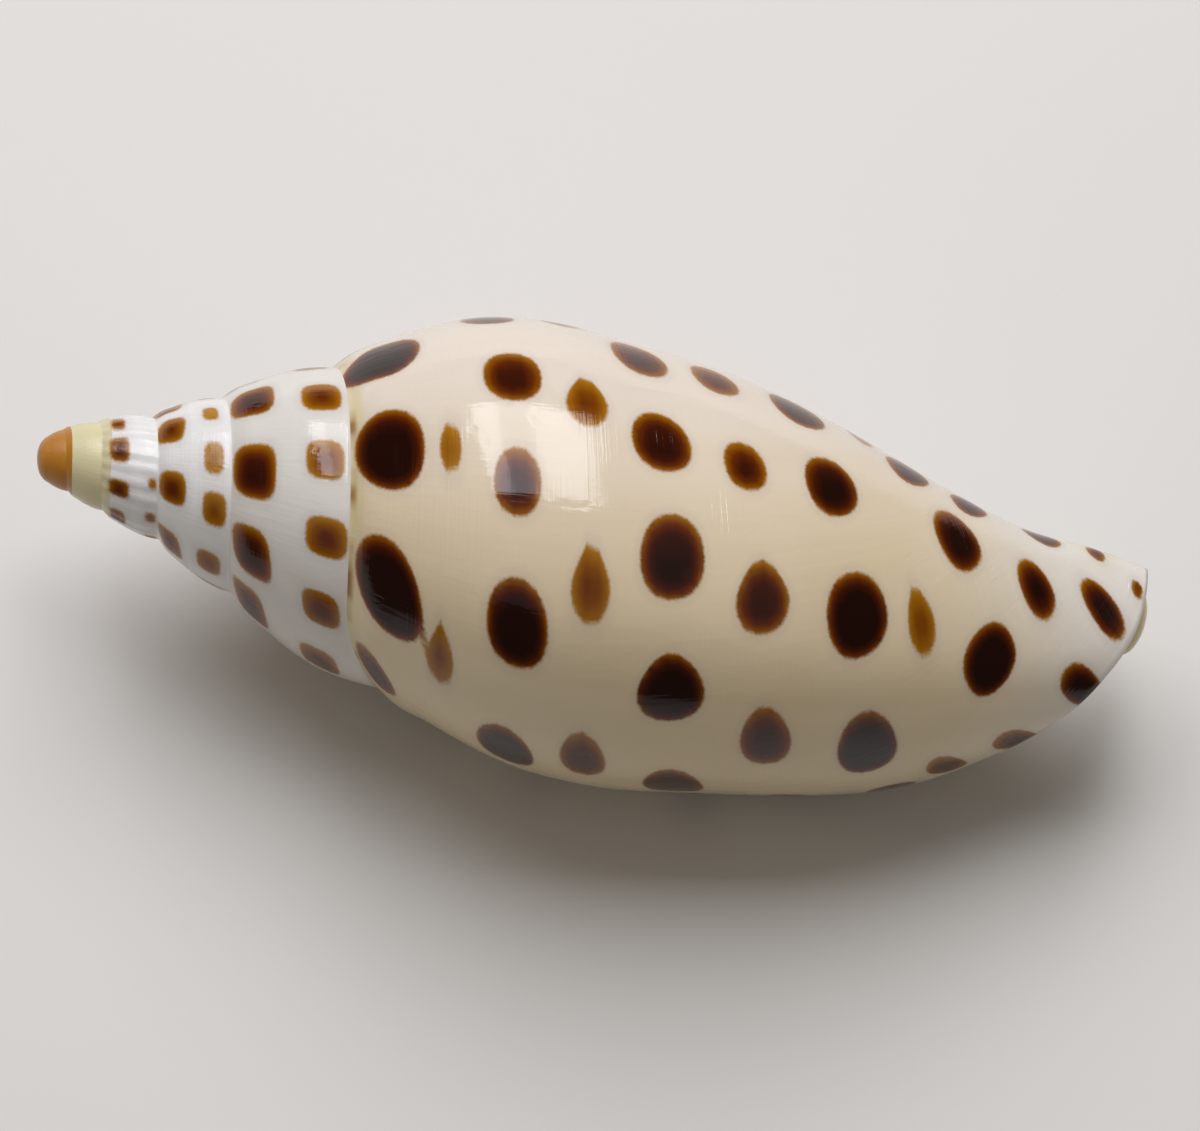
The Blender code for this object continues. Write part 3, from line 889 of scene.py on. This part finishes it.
spots = continued(SHOULDER, 0.3, 0.115) + continued(WAIST, 0.3, 0.1)
for row, spacing in zip(BODY_ROWS, BODY_SPACING):
    first = row[0]
    behind = []
    for k in range(MOST_BEHIND, 0, -1):
        turn = first[0] - k * spacing
        if turn > LIP_TURN - 1.0:
            shrink = GROWTH ** (turn - first[0]) * (1.0 + UNEVEN * math.sin(5.0 * k + first[1]))
            across = first[3] * shrink
            behind.append((turn, first[1], first[2] * shrink, across, 0.2, 0.0, first[6]))
    spots += behind + list(row)
print("spots:", len(spots))

# %% [markdown]
# Each face corner gets two numbers: its distance to the edge of the nearest
# spot in millimetres, negative inside, and how much ink lies over it. A
# distance blends evenly across a face, so a crisp edge can be drawn from it
# that is far finer than the mesh. A spot is a superellipse: the higher its
# power, the squarer it is, as on the spire. The ink gets deeper from the edge
# inwards and towards the newer side of a spot.

# %% Distance to the nearest spot
BLEED = 0.13
FAR = 9.0
INK_RIM = 1.4
SQUARE, ROUND, POINTED = 3.3, 2.3, 1.2
coil = np.array(corner_map)
edge = np.full(len(coil), FAR)
ink = np.zeros(len(coil))
spotted = np.array(corner_part) != PILLAR
for turn, share, length, width, point, lean, darkest in spots:
    size = scale_at(turn)
    near = spotted & (np.abs(coil[:, 0] - turn) < 0.3)
    near &= np.abs(coil[:, 1] - share) < 0.5 * width / size + 4.0
    lengthwise = (coil[near, 0] - turn) * 2 * math.pi * outline(share) * size
    slope = math.hypot(1.0, min(outline_curve(share)[1], 0.6))
    sideways = (coil[near, 1] - share) * size * slope - lean * lengthwise
    a, b = 0.5 * length + BLEED, 0.5 * width + BLEED
    taper = 1.0 + 0.4 * point * np.clip(lengthwise / a, -1.0, 0.2)
    blunt = SQUARE if turn < -1.0 else ROUND
    power = np.where(lengthwise < 0.0, mix(blunt, POINTED, point), blunt)
    reach = np.abs(lengthwise / a) ** power + np.abs(sideways / (b * taper)) ** power
    away = (reach ** (1 / power) - 1.0) * min(a, b)
    dark = np.clip(-away / min(b, INK_RIM), 0.0, 1.0) * darkest
    dark *= 1.0 + 0.4 * np.clip(lengthwise / a, -1.0, 1.0)
    closer = away < edge[near]
    edge[near] = np.where(closer, away, edge[near])
    ink[near] = np.where(closer, dark, ink[near])
for name, values in (("spot", edge), ("ink", ink)):
    shell_mesh.attributes.new(name, "FLOAT", "CORNER").data.foreach_set("value", values)
print("face corners inside a spot:", int((edge < 0).sum()))

# %% [markdown]
# ## The glossy shell
# The living snail covers its shell with the mantle, which keeps it polished.
# The ground is cream, yellower on the last whorl and whiter on the spire and at
# the front end. The egg-grown whorl is pale yellow and its dome is orange. A
# ramp along the turn gives these changes, because the colour was laid down as
# the shell grew. Faint clouds about 14 mm wide and bands along the growth lines
# make it less even. Patterns are scaled per metre, or on the coil per turn and
# per millimetre of the outline.

# %% Colour of the ground
shell_material.use_nodes = True
paint = shell_material.node_tree
shader = paint.nodes["Principled BSDF"]
coil_uv = add(paint, "ShaderNodeUVMap", uv_map="coil")
turn, share = add(paint, SPLIT, [coil_uv]).node.outputs[:2]
place = add(paint, "ShaderNodeTexCoord", give=3)
GROUND = (
    (0.0, "#BE7C04"), (0.318, "#B87400"), (0.334, "#DED5AC"), (0.45, "#DCD1A2"),
    (0.472, "#ECEBEA"), (0.72, "#EAE9E6"), (0.79, "#E0DCD4"), (0.845, "#DFDBD3"),
    (0.87, "#E8DBC4"), (0.91, "#E7DBC9"), (0.935, "#E6DACC"), (0.955, "#E6D3B0"),
    (0.985, "#E4CFA6"), (1.0, "#E6D6B8"),
)
CLOUDS_PER_METRE = 70.0
early = add(paint, MATH, [turn, -2.9], operation="LESS_THAN")
# on the first whorls, the strip along the suture is coloured like the older whorl
past_suture = add(paint, RANGE, [share, 25.2, 25.8, 1, 0])
past_suture = add(paint, MATH, [past_suture, early], **TIMES)
colour_turn = add(paint, MATH, [turn, past_suture], **MINUS)
by_turn = add(paint, RANGE, [colour_turn, FIRST_TURN, LIP_TURN, 0, 1])
ground = add(paint, RAMP, [by_turn], stops=GROUND)
cloud = add(paint, NOISE, {0: place, 2: CLOUDS_PER_METRE, 3: 3.0})
cloud = add(paint, RANGE, [cloud, 0.35, 0.7, 0, 0.16])
years_at = add(paint, VECTOR, [coil_uv, (26, 0.03, 0)], **TIMES)
years = add(paint, NOISE, {0: years_at, 2: 1.0, 3: 3.0})
years = add(paint, RANGE, [years, 0.45, 0.75, 0, 0.2])
grown_late = add(paint, RANGE, [turn, -1.0, -0.6, 0, 1])
years = add(paint, MATH, [years, grown_late], **TIMES)
front_white = add(paint, RANGE, [share, 64, 84, 0, 0.8], **SMOOTH)
stained = add(paint, RANGE, [share, 82, 88, 0, 0.55], **SMOOTH)
older_side = add(paint, RANGE, [turn, -0.02, 0.04, 1, 0], **SMOOTH)
stained = add(paint, MATH, [stained, older_side], **TIMES)
for amount, shade in (
    (cloud, "#ECE2D0"), (years, "#D8C49E"), (front_white, "#E4E1DC"), (stained, "#D8CC9E"),
):
    ground = add(paint, MIX, {0: amount, 6: ground, 7: colour(shade)}, **COLOURS)
print("stops along the turn:", len(GROUND))

# %% [markdown]
# Right below the suture the whorl is stained: a yellow band with brown smears
# that come and go. The distance from the suture is in millimetres: the place on
# the outline times the size of the whorl.

# %% Stain along the suture
whorl_size = add(paint, MATH, [GROWTH, add(paint, MATH, [turn, 0.5])], operation="POWER")
from_suture = add(paint, MATH, [share, OUTLINE[0][0]], **MINUS)
from_suture = add(paint, MATH, [from_suture, whorl_size], **TIMES)
band = add(paint, RANGE, [from_suture, 0.6, 1.4, 0.7, 0], **SMOOTH)
band = add(paint, MATH, [band, grown_late], **TIMES)
along_coil = add(paint, VECTOR, [coil_uv, (14, 0, 0)], **TIMES)
smear = add(paint, NOISE, {0: along_coil, 2: 1.0, 3: 2.0})
smear = add(paint, RANGE, [smear, 0.46, 0.6, 0, 0.9])
line = add(paint, RANGE, [from_suture, 0.2, 0.7, 1, 0], **SMOOTH)
for factor in (line, grown_late):
    smear = add(paint, MATH, [smear, factor], **TIMES)
for amount, shade in ((band, "#DCCB98"), (smear, "#9A6A28")):
    ground = add(paint, MIX, {0: amount, 6: ground, 7: colour(shade)}, **COLOURS)
print("suture size on the last whorl:", round(scale_at(0), 2))

# %% [markdown]
# Inside the mouth the snail paints nothing, and the shell is the colour of
# pale flesh, deeper further in. The shell is thin there, so the spots of the
# outside still shine through near the lip. Across from the lip, the mouth's
# floor is the older whorl under a thin glaze, and its colour fades in. The
# columella is cream, and yellow at its very tip.

# %% Colours of the mouth
part_at = add(paint, "ShaderNodeAttribute", give=2, attribute_name="part")
on_floor = add(paint, MATH, [part_at, FLOOR, 0.5], operation="COMPARE")
depth = add(paint, MATH, [LIP_TURN, turn], **MINUS)
depth = add(paint, MATH, [depth, on_floor], **MINUS)
glazed = add(paint, RANGE, [depth, 0.0, 0.12, 0, 1], **SMOOTH)
glazed = add(paint, MIX, {0: on_floor, 2: 1.0, 3: glazed}, data_type="FLOAT")
flesh = add(paint, RAMP, [depth], stops=(
    (0.0, "#EDE6D6"), (0.04, "#EBD9C2"), (0.2, "#E3C09C"), (0.6, "#D6A884"),
))
callus = add(paint, RAMP, [add(paint, RANGE, [share, 90, 102, 0, 1])], stops=(
    (0.0, "#EBE2CE"), (0.4, "#E9DCBC"), (1.0, "#E0CB94"),
))
pillar = add(paint, MATH, [part_at, PILLAR - 0.5], operation="GREATER_THAN")
mouth = add(paint, MIX, {0: pillar, 6: flesh, 7: callus}, **COLOURS)
inside = add(paint, MATH, [part_at, 0.5], operation="GREATER_THAN")
inside = add(paint, MATH, [inside, glazed], **TIMES)
ground = add(paint, MIX, {0: inside, 6: ground, 7: mouth}, **COLOURS)
print("nodes so far:", len(paint.nodes))

# %% [markdown]
# A spot's edge blurs over a third of a millimetre, with teeth a quarter of a
# millimetre wide. Its rim is orange-brown and deepens to almost black. The glaze
# over it spreads a faint lilac grey around every spot.

# %% Spots over the ground
TEETH_PER_METRE = 4000.0
spot = add(paint, "ShaderNodeAttribute", give=2, attribute_name="spot")
ink_level = add(paint, "ShaderNodeAttribute", give=2, attribute_name="ink")
ragged = add(paint, NOISE, {0: place, 2: TEETH_PER_METRE, 3: 1.0})
ragged = add(paint, RANGE, [ragged, 0.3, 0.7, -0.04, 0.04])
spot_edge = add(paint, MATH, [spot, ragged])
brown = add(paint, RAMP, [ink_level], stops=(
    (0.0, "#B07A18"), (0.05, "#9A6208"), (0.12, "#824800"), (0.24, "#602600"),
    (0.42, "#3E1000"), (0.7, "#1E0400"),
))
covered = add(paint, RANGE, [spot_edge, -0.18, 0.16, 1, 0], **SMOOTH)
halo = add(paint, RANGE, [spot_edge, 0.0, 0.9, 0.2, 0], **SMOOTH)
shine_through = add(paint, RANGE, [depth, 0.0, 0.3, 0.5, 0.0])
shine_through = add(paint, MIX, {0: inside, 2: 1.0, 3: shine_through}, data_type="FLOAT")
covered = add(paint, MATH, [covered, shine_through], **TIMES)
halo = add(paint, MATH, [halo, shine_through], **TIMES)
toned = add(paint, MIX, {0: halo, 6: ground, 7: colour("#B4A4A2")}, **COLOURS)
painted = add(paint, MIX, {0: covered, 6: toned, 7: brown}, **COLOURS)
paint.links.new(painted, shader.inputs["Base Color"])
print("nodes with the spots:", len(paint.nodes))

# %% [markdown]
# Under the polish lie growth lines, one after another as the lip moved on. Fine
# threads follow the coil in patches about 9 mm wide, and here and there is a
# small scuff. All this bends the reflections a little. Real growth lines are
# closer together than the 0.6 mm drawn here on the last whorl, and all of it is
# drawn a few times too deep, so that it shows. The old whorls at the apex are
# worn, so their gloss is softer. The wall is aragonite, whose index is 1.53. The
# polish of a dry shell is never perfect and mirrors a little less, so 1.45 is
# used.

# %% Gloss, growth lines and scuffs
LINES_PER_TURN, BUMP_DEPTH = 190, 0.02
WOBBLES_PER_METRE, PATCHES_PER_METRE = 160.0, 110.0
wobble = add(paint, NOISE, {0: place, 2: WOBBLES_PER_METRE, 3: 2.0})
across_lines = add(paint, MATH, [turn, LINES_PER_TURN, wobble], operation="MULTIPLY_ADD")
along_lines = add(paint, MATH, [share, 0.16], **TIMES)
lines_at = add(paint, JOIN, [across_lines, along_lines])
growth_lines = add(paint, NOISE, {0: lines_at, 2: 1.0, 3: 2.0})
threads_at = add(paint, VECTOR, [coil_uv, (7, 4, 0)], **TIMES)
threads = add(paint, NOISE, {0: threads_at, 2: 1.0, 3: 2.0})
patches = add(paint, NOISE, {0: place, 2: PATCHES_PER_METRE, 3: 1.0})
patches = add(paint, RANGE, [patches, 0.45, 0.6, 0.15, 1.0], **SMOOTH)
for factor in (patches, 1.6):
    threads = add(paint, MATH, [threads, factor], **TIMES)
around, slant = [add(paint, MATH, [turn, rate], **TIMES) for rate in (60, 9)]
down = add(paint, MATH, [share, 0.5, slant], operation="MULTIPLY_ADD")
scuffs_at = add(paint, JOIN, [around, down])
scuffs = add(paint, NOISE, {0: scuffs_at, 2: 1.0, 3: 1.0})
scuffs = add(paint, RANGE, [scuffs, 0.62, 0.7, 0, -0.4])
height = add(paint, MATH, [growth_lines, scuffs])
height = add(paint, MATH, [height, threads])
bump = add(paint, "ShaderNodeBump", {"Height": height, "Distance": BUMP_DEPTH * MM, "Strength": 1})
paint.links.new(bump, shader.inputs["Normal"])
worn = add(paint, RANGE, [turn, -4.6, -3.2, 0.28, 0.09])
paint.links.new(worn, shader.inputs["Roughness"])
shader.inputs["IOR"].default_value = 1.45
print("nodes in the shell's material:", len(paint.nodes))

# %% [markdown]
# ## Floor
# The shell lies on matt white paper, a plain sheet much larger than the view and
# too rough to show a reflection.

# %% Floor
FLOOR_CORNERS = ((-3, -3), (3, -3), (3, 3), (-3, 3))
floor_mesh = bpy.data.meshes.new("floor")
floor_mesh.from_pydata([(x, y, 0) for x, y in FLOOR_CORNERS], [], [(0, 1, 2, 3)])
floor = bpy.data.objects.new("floor", floor_mesh)
bpy.context.scene.collection.objects.link(floor)
paper = bpy.data.materials.new("matt studio paper")
paper.use_nodes = True
paper_shader = paper.node_tree.nodes["Principled BSDF"]
paper_shader.inputs["Base Color"].default_value = colour("#E9E7E3")
paper_shader.inputs["Roughness"].default_value = 0.9
floor_mesh.materials.append(paper)
print("floor, m:", [round(side, 1) for side in floor.dimensions])

# %% [markdown]
# ## Camera
# A shell is best seen square to its axis. The camera looks down at the side
# away from the mouth, a few degrees off the shell's upright, with a long lens
# so that both ends show at the same scale.

# %% Camera
TILT, TURNED = math.radians(4.0), math.radians(10.5)
right = (math.cos(TILT) * math.cos(TURNED), math.sin(TURNED), math.sin(TILT) * math.cos(TURNED))
up = (-math.cos(TILT) * math.sin(TURNED), math.cos(TURNED), -math.sin(TILT) * math.sin(TURNED))
back = (-math.sin(TILT), 0.0, math.cos(TILT))
view = Matrix([LIE.to_3x3() @ Vector(axis) for axis in (right, up, back)]).transposed()
aim = LIE @ (Vector((48.69, -0.98, 0.0)) * MM) + SHIFT
DISTANCE, FRAME_WIDTH = 1.2, 0.10196
camera_data = bpy.data.cameras.new("camera")
camera_data.lens = camera_data.sensor_width * DISTANCE / FRAME_WIDTH
camera_data.clip_start, camera_data.clip_end = 0.05, 20.0
camera = bpy.data.objects.new("camera", camera_data)
camera.matrix_world = Matrix.Translation(aim + view.col[2] * DISTANCE) @ view.to_4x4()
bpy.context.scene.collection.objects.link(camera)
bpy.context.scene.camera = camera
print("camera elevation, degrees:", round(math.degrees(math.asin(view.col[2].z)), 1))

# %% [markdown]
# ## Lights
# Gloss shows its light. A window-like soft box with two bright panes and a dimmer
# one between them makes the crisp highlight on every whorl. A large, faint lamp
# near the camera and the world fill the rest. Each lamp is placed by its angle
# above the camera's own axis.

# %% Lights
world = bpy.data.worlds.new("studio")
world.use_nodes = True
background = world.node_tree.nodes["Background"].inputs
background["Color"].default_value = colour("#F2E2CC")
background["Strength"].default_value = 0.1
bpy.context.scene.world = world
LAMPS = (
    # name, degrees above, metres away, metres aside, width, height, brightness, colour
    ("left pane", 51.7, 0.7, -0.23, 0.13, 0.61, 6.1, "#FAFAFF"),
    ("middle pane", 51.7, 0.7, -0.08, 0.17, 0.61, 3.2, "#FAFAFF"),
    ("right pane", 51.7, 0.7, 0.113, 0.216, 0.61, 6.1, "#FAFAFF"),
    ("front fill", 15, 1.6, 0.0, 3.0, 3.0, 0.17, "#FFFFFF"),
)
for name, above, away, aside, width, height, bright, tint in LAMPS:
    facing = view @ Matrix.Rotation(-math.radians(above), 3, "X")
    lamp = bpy.data.lights.new(name, "AREA")
    lamp.shape = "RECTANGLE"
    lamp.size, lamp.size_y = width, height
    lamp.energy = bright * math.pi * width * height
    lamp.color = colour(tint)[:3]
    holder = bpy.data.objects.new(name, lamp)
    stand = aim + facing @ Vector((aside, 0.0, away))
    holder.matrix_world = Matrix.Translation(stand) @ facing.to_4x4()
    bpy.context.scene.collection.objects.link(holder)
    print(name, "watts:", round(lamp.energy, 2))

bpy.context.scene.view_settings.view_transform = "Standard"
